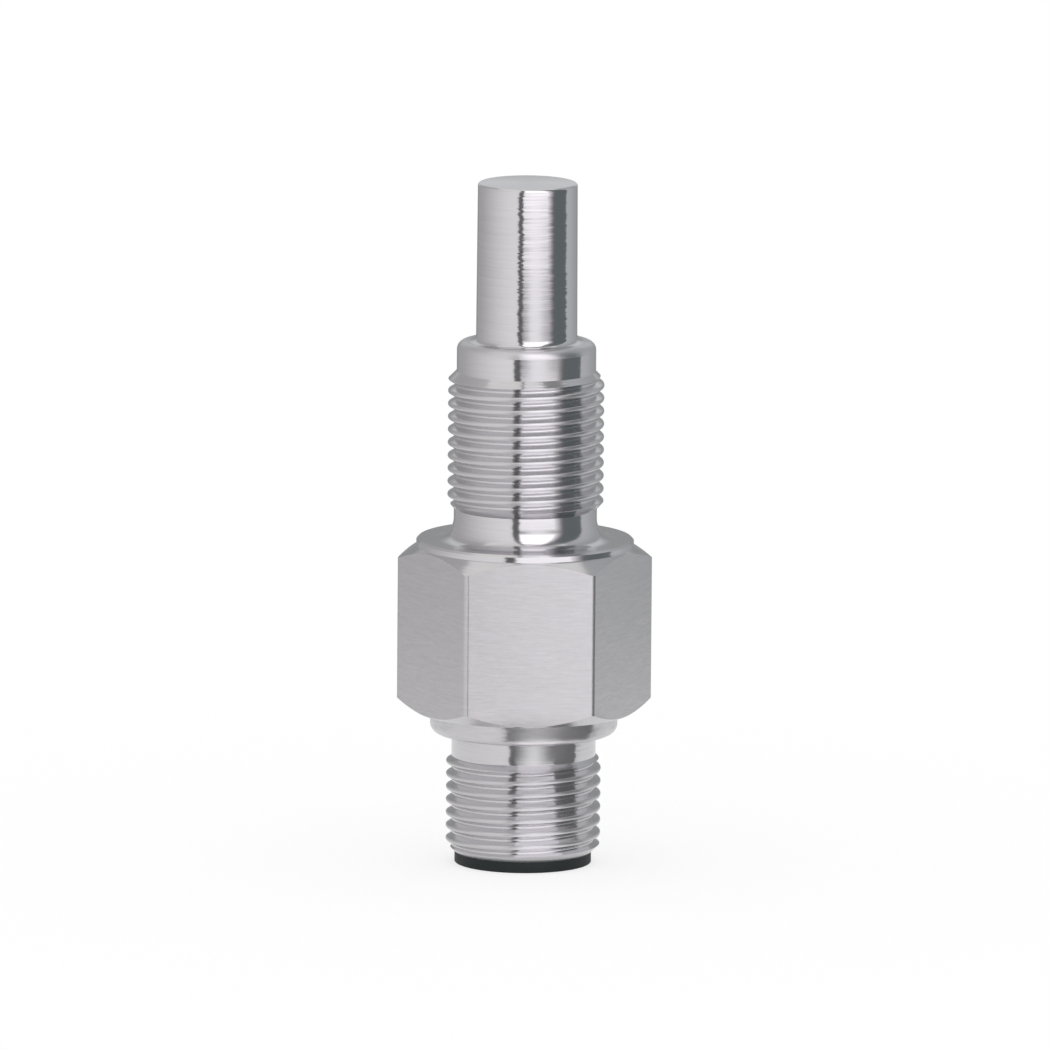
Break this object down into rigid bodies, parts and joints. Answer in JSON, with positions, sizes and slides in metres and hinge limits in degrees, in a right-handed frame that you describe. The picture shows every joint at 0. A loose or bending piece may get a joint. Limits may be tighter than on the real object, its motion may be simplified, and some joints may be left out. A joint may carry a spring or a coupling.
{
  "type": "thermal flow sensor",
  "caption": "Screw-in thermal flow sensor: slim round probe, threaded shank, sealing flange, hexagon for a spanner, and a threaded round plug end with contacts in a keyed socket.",
  "frame": {"origin": "on the sensor's long axis, in the plane of the plug end's plastic rim, which is the lowest point", "axes": "+Z along the long axis from the plug end to the probe tip; -Y square to the hexagon flat that faces the viewer, in line with the socket's coding key; +X to the viewer's right"},
  "size_m": [0.0194, 0.017, 0.0526],
  "materials": {
    "steel": "stainless steel, turned, with brushed flats",
    "insert_plastic": "matte moulded",
    "contact_gold": "gold-plated, smooth",
    "seal_rubber": "matte",
    "board_laminate": "green solder mask",
    "chip_plastic": "matte moulded",
    "capacitor_body": "fired ceramic",
    "sleeve_film": "amber insulating film",
    "strip_ceramic": "white fired ceramic",
    "heater_film": "printed resistive layer",
    "sensor_chip": "fired ceramic",
    "coupler_copper": "plain copper",
    "lead_metal": "tinned copper wire"
  },
  "bodies": {
    "root": {"sensor_body": "steel", "contact_carrier": "insert_plastic", "carrier_seal": "seal_rubber", "contact_board": "board_laminate", "main_board": "board_laminate", "board_sleeve": "sleeve_film", "measuring_chip": "chip_plastic", "heater_driver": "chip_plastic", "input_capacitor": "capacitor_body", "protection_diode": "chip_plastic", "memory_chip": "chip_plastic", "sensing_strip": "strip_ceramic", "heater": "heater_film", "heated_sensor": "sensor_chip", "reference_sensor": "sensor_chip", "tip_coupler": "coupler_copper", "reference_coupler": "coupler_copper", "contact_pin_1": "contact_gold", "contact_pin_2": "contact_gold", "contact_pin_3": "contact_gold", "contact_pin_4": "contact_gold", "contact_pin_5": "contact_gold", "resistor_1": "chip_plastic", "resistor_2": "chip_plastic", "resistor_3": "chip_plastic", "resistor_4": "chip_plastic", "lead_wire_1": "lead_metal", "lead_wire_2": "lead_metal", "lead_wire_3": "lead_metal", "lead_wire_4": "lead_metal", "lead_wire_5": "lead_metal"}
  },
  "joints": []
}
